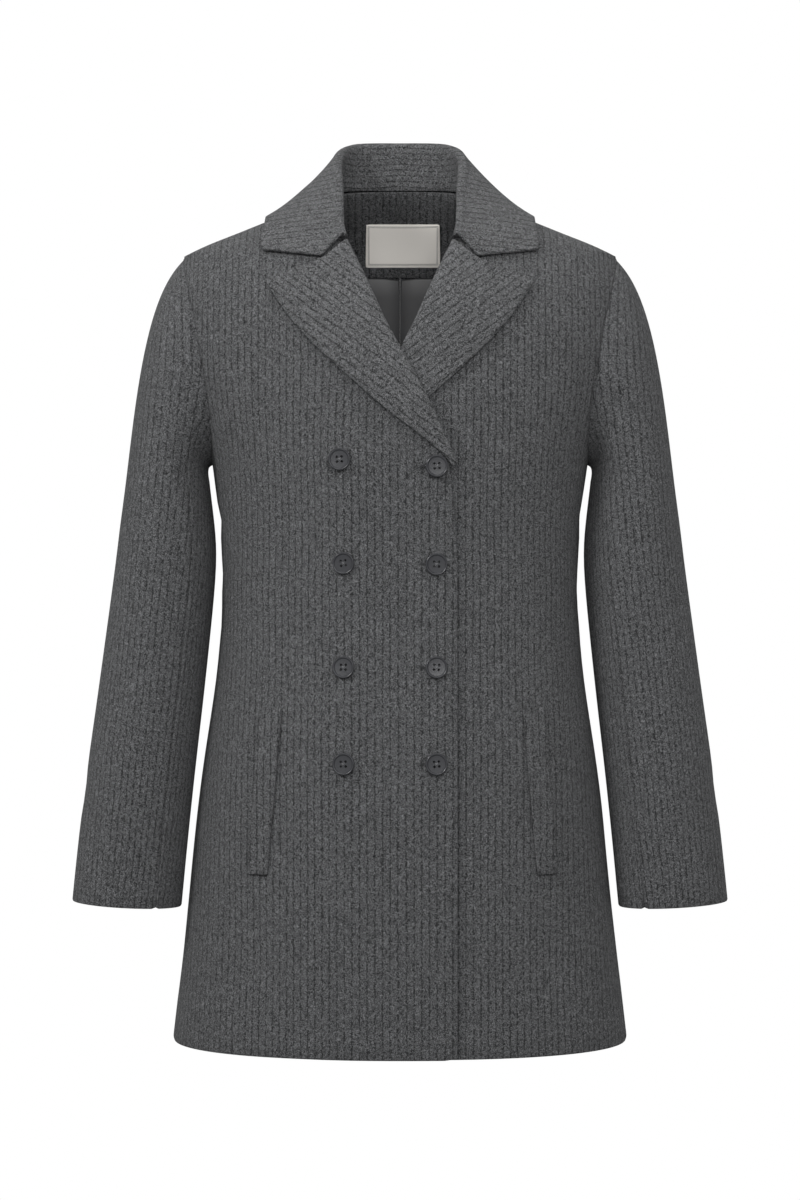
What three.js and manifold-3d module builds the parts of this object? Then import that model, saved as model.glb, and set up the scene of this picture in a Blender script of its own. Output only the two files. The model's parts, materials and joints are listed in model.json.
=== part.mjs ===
// Double-breasted blazer coat, filled out as worn, with no wearer inside it.
// Millimetres, +Z up, front toward -Y, the wearer's right side toward -X.
// The origin is the middle of the base of the neck, between the shoulder-neck points.
// Every piece is worked out for the wearer's right side and mirrored for the left.
import * as THREE from 'three';
import ManifoldModule from 'manifold-3d';

const wasm = await ManifoldModule();
wasm.setup();

// ---------------------------------------------------------------- driving sizes
const HEM_Z = -800;
const ARMPIT_Z = -253;
const TIP_Z = -53; // shoulder tip
const NECK_POINT_Z = 5; // where the shoulder seam meets the collar
const NAPE_Z = 21;
const SQUARENESS = 2.35; // exponent of the body's cross-sections
const BODY_Y = 5; // side seams' distance behind the origin
const FRONT_EDGE_X = 52; // how far each front passes the middle
const WOOL = 2.5; // wall of the body and sleeves
const TURNED_WOOL = 2.4; // wall of the lapels
const COLLAR_WOOL = 2.8;
const SEAM = 0.3; // gap between neighbouring pieces
const OVERLAP_LIFT = 3.9; // the right front's rise over the left front
const LAPEL_LIFT = 3.4; // its further rise over the left lapel
const ARM_HALF_HEIGHT = 100;
const ARM_FRONT_REACH = 70;
const ARM_BACK_REACH = 66;
const LOWER_ROWS = 8;
const ARM_ROWS = 10;
const SHOULDER_ROWS = 5;
const FRONT_COLUMNS = 10;
const BACK_COLUMNS = 9;
const LINING_HEM = 26; // the lining ends this far above the hem
const FACING_GAP = 0.45;

// half width and depths of the body before and behind BODY_Y, by height
const SECTIONS = [
  { z: -800, half: 218, front: 132, back: 128 },
  { z: -765, half: 214, front: 131, back: 125 },
  { z: -688, half: 205, front: 129, back: 121 },
  { z: -611, half: 198, front: 127, back: 118 },
  { z: -535, half: 189, front: 124, back: 117 },
  { z: -458, half: 176, front: 119, back: 110 },
  { z: -371, half: 170, front: 114, back: 101 },
  { z: -319, half: 171.5, front: 116, back: 103 },
  { z: -253, half: 180, front: 121, back: 108 },
  { z: -200, half: 197, front: 121, back: 111 },
  { z: -153, half: 217, front: 117, back: 112 },
  { z: -105, half: 221, front: 111, back: 110 },
  { z: -53, half: 208, front: 90, back: 101 },
  { z: -35, half: 166, front: 79, back: 96 },
  { z: -18, half: 126, front: 66, back: 89 },
  { z: 5, half: 72, front: 46, back: 73 },
  { z: 21, half: 66, front: 42, back: 61 },
  { z: 75, half: 60, front: 38, back: 56 },
];

// the roll line, from the break point up to the gorge
const ROLL = [
  { x: 50, z: -256 }, { x: 44.7, z: -240.6 }, { x: 29.9, z: -207 },
  { x: 14.7, z: -179 }, { x: -0.6, z: -151 }, { x: -13.6, z: -126.6 },
  { x: -26.6, z: -95.5 }, { x: -39.9, z: -67 }, { x: -49, z: -48 },
];
// the lapel's free edge, from the break point up to its tip
const LAPEL_EDGE = [
  { x: 47.6, z: -258.5 }, { x: 38, z: -246 }, { x: 14.6, z: -227 },
  { x: -12, z: -207.5 }, { x: -38, z: -185 }, { x: -62, z: -163 },
  { x: -84, z: -141 }, { x: -105, z: -117 }, { x: -124, z: -86 },
];
const NOTCH = { x: -71.7, z: -67.8 };
// where the front ends along the neck, from the gorge to the shoulder seam
const NECK_EDGE = [
  { x: -54, z: -52 }, { x: -60, z: -39 }, { x: -64, z: -25 },
  { x: -66, z: -10 }, { x: -66.5, z: NECK_POINT_Z },
];
// the collar from its front end to the middle of the back: the neck seam (x, y, z),
// the fold (x, y, z), and the free edge by its turn round the body, height and rise
const COLLAR = [
  { nx: -55, ny: -78, nz: -45, fx: -50, fy: -87, fz: -43.5, turn: 33.5, ez: -58, rise: 4 },
  { nx: -59.5, ny: -68, nz: -31, fx: -54, fy: -73, fz: -28, turn: 41, ez: -42, rise: 4 },
  { nx: -62.5, ny: -50, nz: -11, fx: -57, fy: -52, fz: -6, turn: 54.5, ez: -28, rise: 4 },
  { nx: -64, ny: -25, nz: 4, fx: -59, fy: -27, fz: 18, turn: 73, ez: -20, rise: 4 },
  { nx: -67, ny: 6, nz: 8, fx: -61, fy: 3, fz: 40, turn: 90, ez: -17, rise: 4 },
  { nx: -61, ny: 36, nz: 16, fx: -58, fy: 33, fz: 57, turn: 108, ez: -16, rise: 4 },
  { nx: -47, ny: 52.5, nz: 20, fx: -46, fy: 54, fz: 65, turn: 128, ez: -14, rise: 4 },
  { nx: -24, ny: 62, nz: 21.6, fx: -24, fy: 66, fz: 68, turn: 154, ez: -12, rise: 5 },
  { nx: 0, ny: 64.7, nz: 21.6, fx: 0, fy: 70, fz: 68.5, turn: 180, ez: -10, rise: 5 },
];
const COLLAR_ROWS = 10;
const COLLAR_BEND = 4.2;

// the sleeve below the armpit: centre and half widths by height
const TUBE = [
  { z: -275, cx: 223, cy: 3, rx: 41, ry: 66 },
  { z: -343, cx: 223.6, cy: 0, rx: 49, ry: 64 },
  { z: -410, cx: 231, cy: -5, rx: 50.3, ry: 61 },
  { z: -477, cx: 238.6, cy: -11, rx: 51.2, ry: 58 },
  { z: -573, cx: 250.2, cy: -20, rx: 52.2, ry: 52 },
  { z: -668, cx: 259, cy: -28, rx: 52.4, ry: 45 },
];
const TUBE_HEIGHTS = [-275, -309, -343, -410, -477, -540, -605, -668];
const CROWN_ROWS = 6;
const CUFF_TILT = 3;
const UPPER_FIRST = -4; // the upper sleeve's first and last columns
const UPPER_LAST = 7;

// pocket welts, corners in order; the left one is moved as the right closes over
const WELT = [
  { x: -128.9, z: -480.5 }, { x: -108.2, z: -480.5 },
  { x: -121.5, z: -633.5 }, { x: -140, z: -633.5 },
];
const LEFT_WELT_SHIFT = 4.5;
const WELT_WALL = 2;
const LABEL = { halfWidth: 37.5, shift: 3, top: -5, bottom: -47.5, wall: 1 };

// button rows: height, the two columns' distances from the middle and the shank's length
const BUTTON_ROWS = [
  { z: -252.5, outer: -54, inner: 33, innerZ: -258.5, seat: 0.35 },
  { z: -347, outer: -51, inner: 33, innerZ: -348, seat: 0.8 },
  { z: -443, outer: -51, inner: 33, innerZ: -443, seat: 0.35 },
  { z: -531, outer: -51, inner: 33, innerZ: -531, seat: 0.35 },
];
const BUTTON = { radius: 10.2, height: 3.6, rim: 1.8, dish: 0.8, hole: 1.1, pitch: 2 };

// ---------------------------------------------------------------- finishes
const material = (color, roughness) => new THREE.MeshStandardMaterial(
  { color, roughness, metalness: 0 });
const wool = material(0x55575a, 0.95);
const turnedWool = material(0x626467, 0.95);
const satin = material(0x2b2c2e, 0.45);
const ribbon = material(0xd9d1c8, 0.8);
const plastic = material(0x3c3d40, 0.4);

// ---------------------------------------------------------------- curves
/** Smooth step from 0 at a to 1 at b. */
function smooth(a, b, x) {
  const t = Math.min(1, Math.max(0, (x - a) / (b - a)));
  return t * t * (3 - 2 * t);
}

const mix = (a, b, t) => a + (b - a) * t;

/** A monotone cubic through the named columns of a table sorted by xKey. */
function smoothTable(rows, xKey, yKey) {
  const xs = rows.map((r) => r[xKey]);
  const ys = rows.map((r) => r[yKey]);
  const last = xs.length - 1;
  const slope = xs.slice(1).map((x, i) => (ys[i + 1] - ys[i]) / (x - xs[i]));
  const bend = xs.map((_, i) => {
    if (i === 0) return slope[0];
    if (i === last) return slope[last - 1];
    const [a, b] = [slope[i - 1], slope[i]];
    return a * b <= 0 ? 0 : (2 * a * b) / (a + b);
  });
  return (x) => {
    const clamped = Math.min(xs[last], Math.max(xs[0], x));
    let i = 0;
    while (i < last - 1 && clamped > xs[i + 1]) i += 1;
    const h = xs[i + 1] - xs[i];
    const t = (clamped - xs[i]) / h;
    const [t2, t3] = [t * t, t * t * t];
    return (2 * t3 - 3 * t2 + 1) * ys[i] + (t3 - 2 * t2 + t) * h * bend[i]
      + (3 * t2 - 2 * t3) * ys[i + 1] + (t3 - t2) * h * bend[i + 1];
  };
}

/** A point of a table taken as a path, at 0..1 along its rows. */
function along(rows, keys, t) {
  const f = Math.min(rows.length - 1 - 1e-9, Math.max(0, t * (rows.length - 1)));
  const i = Math.floor(f);
  return keys.map((k) => mix(rows[i][k], rows[i + 1][k], f - i));
}

// ---------------------------------------------------------------- the body's form
const halfAt = smoothTable(SECTIONS, 'z', 'half');
const frontAt = smoothTable(SECTIONS, 'z', 'front');
const backAt = smoothTable(SECTIONS, 'z', 'back');
const signedPow = (v, e) => Math.sign(v) * Math.abs(v) ** e;

/** The body's outside at a height and a turn: 0 front, 90 the side, 180 the back. */
function formPoint(z, turn) {
  const [c, s] = [Math.cos(turn), Math.sin(turn)];
  const depth = c > 0 ? frontAt(z) : backAt(z);
  return new THREE.Vector3(-halfAt(z) * signedPow(s, 2 / SQUARENESS),
    BODY_Y - depth * signedPow(c, 2 / SQUARENESS), z);
}

/** 0 on the body's outside, more outside it. */
function formField(p) {
  const depth = p.y < BODY_Y ? frontAt(p.z) : backAt(p.z);
  return Math.abs(p.x / halfAt(p.z)) ** SQUARENESS
    + Math.abs((p.y - BODY_Y) / depth) ** SQUARENESS - 1;
}

/** The field's slope at a point. */
function formSlope(p) {
  const step = 0.2;
  const at = (dx, dy, dz) => formField(new THREE.Vector3(p.x + dx, p.y + dy, p.z + dz));
  return new THREE.Vector3(at(step, 0, 0) - at(-step, 0, 0), at(0, step, 0) - at(0, -step, 0),
    at(0, 0, step) - at(0, 0, -step)).divideScalar(2 * step);
}

const formNormal = (p) => formSlope(p).normalize();

/** The turn at which the front (or back) has a given distance from the middle. */
function turnOfX(z, x, back = false) {
  const s = signedPow(Math.max(-1, Math.min(1, -x / halfAt(z))), SQUARENESS / 2);
  return back ? Math.PI - Math.asin(s) : Math.asin(s);
}

/** The point of the front over (x, z), and its normal. */
function frontPoint(x, z) {
  const p = formPoint(z, turnOfX(z, x));
  return { p, n: formNormal(p) };
}

/** How far the right front stands off the form where it lies over the left one. */
function overlapLift(x, z) {
  const over = smooth(-92, -62, x) * (1 - smooth(-150, -95, z));
  const lapel = smooth(-105, -62, x) * smooth(-305, -268, z) * (1 - smooth(-150, -100, z));
  return OVERLAP_LIFT * over + LAPEL_LIFT * lapel;
}

// ---------------------------------------------------------------- walls from grids
/** Normals of a grid from its own points. */
function gridNormals(grid) {
  const last = grid.length - 1;
  return grid.map((row, i) => row.map((_, j) => {
    const end = row.length - 1;
    const du = new THREE.Vector3().subVectors(grid[i][Math.min(end, j + 1)],
      grid[i][Math.max(0, j - 1)]);
    const dv = new THREE.Vector3().subVectors(grid[Math.min(last, i + 1)][j],
      grid[Math.max(0, i - 1)][j]);
    return du.cross(dv).normalize();
  }));
}

/** Moves one edge of a grid inward by a distance. */
function inset(grid, edge, distance) {
  const move = (a, b) => a.add(new THREE.Vector3().subVectors(b, a).setLength(distance));
  if (edge === 'first') grid[0].forEach((p, j) => move(p, grid[1][j]));
  if (edge === 'last') grid.at(-1).forEach((p, j) => move(p, grid.at(-2)[j]));
  if (edge === 'start') grid.forEach((row) => move(row[0], row[1]));
  if (edge === 'end') grid.forEach((row) => move(row.at(-1), row.at(-2)));
}

/** A closed wall between two grids of the same size; before its middle column the
 * quads are cut along their other diagonal, so both halves are alike. */
function wallGeometry(outer, inner, mirror = false, middle = 0) {
  const rows = outer.length;
  const columns = outer[0].length;
  const positions = [];
  const side = mirror ? -1 : 1;
  [outer, inner].forEach((grid) => grid.forEach((row) => row.forEach((p) => {
    positions.push(side * p.x, p.y, p.z);
  })));
  const at = (k, i, j) => k * rows * columns + i * columns + j;
  const faces = [];
  const quad = (a, b, c, d, other = false) => (other
    ? faces.push([a, b, d], [b, c, d]) : faces.push([a, b, c], [a, c, d]));
  for (let i = 0; i < rows - 1; i += 1) {
    for (let j = 0; j < columns - 1; j += 1) {
      const other = j < middle;
      quad(at(0, i, j), at(0, i, j + 1), at(0, i + 1, j + 1), at(0, i + 1, j), other);
      quad(at(1, i, j), at(1, i + 1, j), at(1, i + 1, j + 1), at(1, i, j + 1), other);
    }
  }
  for (let j = 0; j < columns - 1; j += 1) {
    quad(at(0, 0, j), at(1, 0, j), at(1, 0, j + 1), at(0, 0, j + 1));
    quad(at(0, rows - 1, j), at(0, rows - 1, j + 1), at(1, rows - 1, j + 1),
      at(1, rows - 1, j));
  }
  for (let i = 0; i < rows - 1; i += 1) {
    quad(at(0, i, 0), at(0, i + 1, 0), at(1, i + 1, 0), at(1, i, 0));
    quad(at(0, i, columns - 1), at(1, i, columns - 1), at(1, i + 1, columns - 1),
      at(0, i + 1, columns - 1));
  }
  const corner = (k) => new THREE.Vector3(...positions.slice(3 * k, 3 * k + 3));
  const volume = faces.reduce((sum, [a, b, c]) => sum
    + corner(a).dot(corner(b).cross(corner(c))), 0);
  const ordered = volume < 0 ? faces.map(([a, b, c]) => [a, c, b]) : faces;
  const geometry = new THREE.BufferGeometry();
  geometry.setAttribute('position', new THREE.Float32BufferAttribute(positions, 3));
  geometry.setIndex(ordered.flat());
  geometry.computeVertexNormals();
  return geometry;
}

/** A grid moved along its normals. */
const moved = (grid, normals, distance) => grid.map((row, i) => row.map((p, j) => p.clone()
  .addScaledVector(normals[i][j], distance)));

const coat = new THREE.Group();
coat.name = 'blazer';

/** Adds one piece to the coat. */
function addPiece(name, geometry, finish) {
  const mesh = new THREE.Mesh(geometry, finish);
  mesh.name = name;
  coat.add(mesh);
}

// ---------------------------------------------------------------- fronts and backs
/** The rim of the armhole at an angle round it: 0 the shoulder tip, 90 the front. */
function armholePoint(angle) {
  const z = mix(ARMPIT_Z, TIP_Z, 0.5) + ARM_HALF_HEIGHT * Math.cos(angle);
  const s = Math.sin(angle);
  const reach = s > 0 ? ARM_FRONT_REACH : ARM_BACK_REACH;
  const depth = s > 0 ? frontAt(z) : backAt(z);
  const c = signedPow((reach * s) / depth, SQUARENESS / 2);
  return formPoint(z, Math.acos(Math.max(-1, Math.min(1, c))));
}

/** The turn of the armhole's rim. */
function armholeTurn(angle) {
  const p = armholePoint(angle);
  const depth = p.y < BODY_Y ? frontAt(p.z) : backAt(p.z);
  return Math.acos(Math.max(-1, Math.min(1, signedPow((BODY_Y - p.y) / depth, SQUARENESS / 2))));
}

/** The x at which the front ends toward the opening, before the collar. */
function openingX(z) {
  const roll = ROLL.map((r) => ({ x: r.x - 4.6, z: r.z - 1.6 }));
  const path = [{ x: FRONT_EDGE_X, z: HEM_Z }, { x: FRONT_EDGE_X, z: -272 },
    { x: FRONT_EDGE_X - 1.5, z: -262 }, ...roll.slice(0, -1), NECK_EDGE[0]];
  let i = 0;
  while (i < path.length - 2 && z > path[i + 1].z) i += 1;
  return mix(path[i].x, path[i + 1].x,
    Math.min(1, (z - path[i].z) / (path[i + 1].z - path[i].z)));
}

/** Rows of a front or back: height and turn at the opening or middle, and at the side. */
function panelRows(back) {
  const rows = [];
  const side = Math.PI / 2;
  const inner = (z) => (back ? Math.PI : turnOfX(z, openingX(z)));
  for (let i = 0; i < LOWER_ROWS; i += 1) {
    const z = mix(HEM_Z, ARMPIT_Z, i / LOWER_ROWS);
    rows.push({ z0: z, turn0: inner(z), z1: z, turn1: side });
  }
  for (let i = 0; i <= ARM_ROWS; i += 1) {
    const angle = Math.PI * (1 - i / ARM_ROWS);
    const rim = armholePoint(back ? -angle : angle);
    rows.push({ z0: rim.z, turn0: inner(rim.z), z1: rim.z,
      turn1: i === 0 || i === ARM_ROWS ? side : armholeTurn(back ? -angle : angle) });
  }
  for (let i = 1; i <= SHOULDER_ROWS; i += 1) {
    const t = i / SHOULDER_ROWS;
    const z1 = mix(TIP_Z, NECK_POINT_Z, t);
    const edge = NECK_EDGE[i - 1];
    const z0 = back ? mix(TIP_Z, NAPE_Z, t) : edge.z;
    rows.push({ z0, turn0: back ? Math.PI : turnOfX(z0, edge.x), z1, turn1: side,
      curve: back ? 2.5 : 1 });
  }
  return rows;
}

/** The points of a panel over its rows. */
function panelGrid(rows, columns, rise = () => 0) {
  return rows.map((row) => Array.from({ length: columns + 1 }, (_, j) => {
    const u = j / columns;
    const p = formPoint(mix(row.z0, row.z1, u ** (row.curve ?? 1)),
      mix(row.turn0, row.turn1, u));
    return p.addScaledVector(formNormal(p), rise(p.x, p.z));
  }));
}

const formNormals = (grid) => grid.map((row) => row.map((p) => formNormal(p)));

/** One front or back, or a layer lying inside it. */
function addPanel(name, finish, { back, mirror, rise, rows, columns, outside = 0, wall = WOOL,
  edges = [['start', SEAM / 2], ['end', SEAM / 2]] }) {
  const grid = panelGrid(rows ?? panelRows(back), columns, rise);
  const normals = formNormals(grid);
  edges.forEach(([edge, distance]) => inset(grid, edge, distance));
  addPiece(name, wallGeometry(moved(grid, normals, -outside),
    moved(grid, normals, -outside - wall), mirror), finish);
}

addPanel('front_right', wool, { back: false, rise: overlapLift, columns: FRONT_COLUMNS,
  edges: [['end', SEAM / 2]] });
addPanel('front_left', wool, { back: false, mirror: true, columns: FRONT_COLUMNS,
  edges: [['end', SEAM / 2]] });
addPanel('back_right', wool, { back: true, columns: BACK_COLUMNS });
addPanel('back_left', wool, { back: true, mirror: true, columns: BACK_COLUMNS });

// ---------------------------------------------------------------- inside of the back
const facingRows = panelRows(true).slice(LOWER_ROWS + ARM_ROWS - 1);
const LAYER_GAP = WOOL + FACING_GAP;

/** The whole facing: its right half and the mirror of it, in one grid. */
function facingGrid() {
  const half = panelGrid(facingRows, BACK_COLUMNS);
  inset(half, 'end', SEAM / 2);
  return half.map((row) => [...row.slice().reverse(),
    ...row.slice(1).map((p) => new THREE.Vector3(-p.x, p.y, p.z))]);
}

const facing = facingGrid();
const facingNormals = formNormals(facing);
addPiece('back_neck_facing', wallGeometry(moved(facing, facingNormals, -LAYER_GAP),
  moved(facing, facingNormals, -LAYER_GAP - 2), false, BACK_COLUMNS), wool);

const liningRows = Array.from({ length: 10 }, (_, i) => {
  const z = mix(HEM_Z + LINING_HEM, facingRows[0].z0 - 2 * SEAM, i / 9);
  const angle = Math.acos(Math.max(-1, Math.min(1,
    (z - mix(ARMPIT_Z, TIP_Z, 0.5)) / ARM_HALF_HEIGHT)));
  const turn1 = z > ARMPIT_Z ? armholeTurn(-angle) : Math.PI / 2;
  return { z0: z, turn0: Math.PI, z1: z, turn1 };
});
['right', 'left'].forEach((side) => addPanel(`lining_${side}`, satin, {
  back: true, mirror: side === 'left', rows: liningRows, columns: 6, outside: LAYER_GAP + 1.6, wall: 1,
  edges: [['start', SEAM / 2], ['end', 6]] }));

// ---------------------------------------------------------------- label
/** The label's points on the inside of the facing. */
function labelGrid() {
  return [0, 1, 2].map((i) => Array.from({ length: 7 }, (_, j) => {
    const z = mix(LABEL.bottom, LABEL.top, i / 2);
    return formPoint(z, turnOfX(z, LABEL.shift + mix(-LABEL.halfWidth, LABEL.halfWidth, j / 6), true));
  }));
}

const labelPoints = labelGrid();
const labelNormals = formNormals(labelPoints);
const LABEL_OUT = LAYER_GAP + 2 + SEAM + 0.5;
addPiece('label', wallGeometry(moved(labelPoints, labelNormals, -LABEL_OUT),
  moved(labelPoints, labelNormals, -LABEL_OUT - LABEL.wall)), ribbon);

// ---------------------------------------------------------------- sleeves
const tubeAt = Object.fromEntries(['cx', 'cy', 'rx', 'ry'].map((key) => [key,
  smoothTable([...TUBE].reverse(), 'z', key)]));

/** A point of the sleeve's tube at a height and an angle round it. */
function tubePoint(z, angle) {
  return new THREE.Vector3(-(tubeAt.cx(z) + tubeAt.rx(z) * Math.cos(angle)),
    tubeAt.cy(z) - tubeAt.ry(z) * Math.sin(angle),
    z + CUFF_TILT * Math.cos(angle) * smooth(-500, -668, z));
}

/** Points and wall directions of the sleeve, ring by ring, closed on itself. */
function sleeveRings() {
  const count = 2 * ARM_ROWS;
  const angles = Array.from({ length: count + 1 }, (_, j) => (2 * Math.PI * j) / count);
  const hole = new THREE.Vector3(-215, BODY_Y, mix(ARMPIT_Z, TIP_Z, 0.5));
  const starts = angles.map((angle) => {
    const p = armholePoint(angle > Math.PI ? angle - 2 * Math.PI : angle);
    const n = formNormal(p);
    const rim = new THREE.Vector3().subVectors(armholePoint(angle + 0.03),
      armholePoint(angle - 0.03));
    const into = new THREE.Vector3().crossVectors(n, rim).normalize();
    if (into.dot(new THREE.Vector3().subVectors(hole, p)) < 0) into.negate();
    const down = (1 - Math.cos(angle)) / 2; // 0 at the shoulder, 1 at the armpit
    const under = smooth(0.62, 0.95, down);
    const open = mix(21, 82, smooth(0, 1, down)) * (Math.PI / 180);
    const from = p.clone().addScaledVector(into, SEAM).addScaledVector(n, -WOOL * under);
    const heading = into.clone().multiplyScalar(Math.cos(open))
      .addScaledVector(n, Math.sin(open));
    const thick = n.clone().multiplyScalar(-(1 - under)).addScaledVector(into, under)
      .normalize();
    return { from, heading, thick, down };
  });
  const rings = [];
  for (let i = 0; i <= CROWN_ROWS; i += 1) {
    const t = (i / CROWN_ROWS) ** 1.2;
    rings.push(angles.map((angle, j) => {
      const { from, heading, down } = starts[j];
      const to = tubePoint(TUBE_HEIGHTS[0], angle);
      const span = from.distanceTo(to);
      const c1 = from.clone().addScaledVector(heading, span * mix(0.17, 0.55, down ** 3));
      const slant = new THREE.Vector3(-0.1 * (1 - down), 0, -1).normalize();
      const c2 = to.clone().addScaledVector(slant, -span * mix(0.59, 0.5, down));
      return new THREE.CubicBezierCurve3(from, c1, c2, to).getPoint(t);
    }));
  }
  TUBE_HEIGHTS.slice(1).forEach((z) => rings.push(angles.map((a) => tubePoint(z, a))));
  const normals = rings.map((ring, i) => ring.map((_, j) => {
    const before = ring[(j - 1 + count) % count];
    const after = ring[(j + 1) % count];
    const up = rings[Math.max(0, i - 1)][j];
    const low = rings[Math.min(rings.length - 1, i + 1)][j];
    const n = new THREE.Vector3().subVectors(after, before)
      .cross(new THREE.Vector3().subVectors(low, up)).normalize();
    const axis = new THREE.Vector3(-tubeAt.cx(ring[j].z), tubeAt.cy(ring[j].z), ring[j].z);
    if (i > 0 && n.dot(new THREE.Vector3().subVectors(axis, ring[j])) < 0) n.negate();
    if (i === 0) return starts[j].thick;
    return n;
  }));
  normals[1] = normals[1].map((n, j) => n.clone().lerp(normals[0][j], 0.3).normalize());
  return { rings, normals, count };
}

const sleeve = sleeveRings();

/** One piece of a sleeve between two of its columns. */
function addSleevePiece(name, first, last, mirror) {
  const columns = Array.from({ length: last - first + 1 },
    (_, k) => (first + k + sleeve.count) % sleeve.count);
  const grid = sleeve.rings.map((ring) => columns.map((j) => ring[j].clone()));
  const inward = sleeve.normals.map((ring) => columns.map((j) => ring[j]));
  inset(grid, 'start', SEAM / 2);
  inset(grid, 'end', SEAM / 2);
  addPiece(name, wallGeometry(grid, moved(grid, inward, WOOL), mirror), wool);
}

['right', 'left'].forEach((side) => {
  addSleevePiece(`sleeve_upper_${side}`, UPPER_FIRST, UPPER_LAST, side === 'left');
  addSleevePiece(`sleeve_under_${side}`, UPPER_LAST, UPPER_FIRST + sleeve.count,
    side === 'left');
});

// ---------------------------------------------------------------- lapels
const LAPEL_ROWS = 11;
const LAPEL_COLUMNS = 5;
const BEND_STEPS = 4;

/** The lapel's middle surface, from the front's edge, over the fold, to its free edge. */
function lapelGrid(rise, pressed) {
  return Array.from({ length: LAPEL_ROWS + 1 }, (_, i) => {
    const t = i / LAPEL_ROWS;
    const [rx, rz] = along(ROLL, ['x', 'z'], t);
    const [bx, bz] = along(ROLL, ['x', 'z'], Math.max(0, t - 0.04));
    const [ax, az] = along(ROLL, ['x', 'z'], Math.min(1, t + 0.04));
    const length = Math.hypot(ax - bx, az - bz);
    const across = { x: -(az - bz) / length, z: (ax - bx) / length };
    const low = pressed ? 1 - smooth(-175, -130, rz) : 1 - smooth(0, 0.25, t);
    const bend = mix(2.3, 1.55, low);
    const seamX = openingX(rz - 1.6) - SEAM;
    const foot = Math.max(bend + 0.4, (rx - seamX) / Math.max(0.3, -across.x) - 1.2);
    const points = [];
    const put = (x, z, height) => {
      const { p, n } = frontPoint(x, z);
      points.push(p.addScaledVector(n, height + rise(x, z)));
    };
    const base = -WOOL / 2;
    put(rx + across.x * foot, rz + across.z * foot, base);
    put(rx + across.x * bend, rz + across.z * bend, base);
    for (let k = 1; k < BEND_STEPS; k += 1) {
      const a = (Math.PI * k) / BEND_STEPS;
      const p = bend * (1 - Math.sin(a));
      put(rx + across.x * p, rz + across.z * p, base + bend * (1 - Math.cos(a)));
    }
    const start = { x: rx + across.x * bend, z: rz + across.z * bend };
    const [ex, ez] = along(LAPEL_EDGE, ['x', 'z'], t);
    const topStart = { x: ROLL.at(-1).x + across.x * bend, z: ROLL.at(-1).z + across.z * bend };
    for (let k = 0; k <= LAPEL_COLUMNS; k += 1) {
      const v = k / LAPEL_COLUMNS;
      const notchAt = 0.4;
      const tip = LAPEL_EDGE.at(-1);
      const topX = v < notchAt ? mix(topStart.x, NOTCH.x, v / notchAt)
        : mix(NOTCH.x, tip.x, (v - notchAt) / (1 - notchAt));
      const topZ = v < notchAt ? mix(topStart.z, NOTCH.z - 1, v / notchAt)
        : mix(NOTCH.z - 1, tip.z, (v - notchAt) / (1 - notchAt));
      const pull = t ** 4;
      const x = mix(start.x, ex, v) + pull * (topX - mix(topStart.x, tip.x, v));
      const z = mix(start.z, ez, v) + pull * (topZ - mix(topStart.z, tip.z, v));
      const stand = (1 - low) * 2.2 * Math.sin(Math.PI * Math.min(1, v * 0.8 + 0.1));
      put(x, z, base + 2 * bend + stand);
    }
    return points;
  });
}

/** One lapel. */
function addLapel(name, rise, mirror) {
  const grid = lapelGrid(rise, mirror);
  const normals = gridNormals(grid);
  addPiece(name, wallGeometry(moved(grid, normals, TURNED_WOOL / 2),
    moved(grid, normals, -TURNED_WOOL / 2), mirror), turnedWool);
}

addLapel('lapel_right', overlapLift, false);
addLapel('lapel_left', () => 0, true);

// ---------------------------------------------------------------- collar
const collarAt = Object.fromEntries(Object.keys(COLLAR[0]).map((key) => [key,
  smoothTable(COLLAR.map((row, i) => ({ ...row, step: i / (COLLAR.length - 1) })),
    'step', key)]));
const COLLAR_CORNER = { x: -127, z: -57 };

/** A point pushed out until it clears the body's form. */
function clearOfForm(p, clearance) {
  const q = p.clone();
  for (let k = 0; k < 6; k += 1) {
    const slope = formSlope(q);
    const distance = formField(q) / slope.length();
    if (distance >= clearance) break;
    q.addScaledVector(slope.normalize(), (clearance - distance) * 0.9);
  }
  return q;
}

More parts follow.
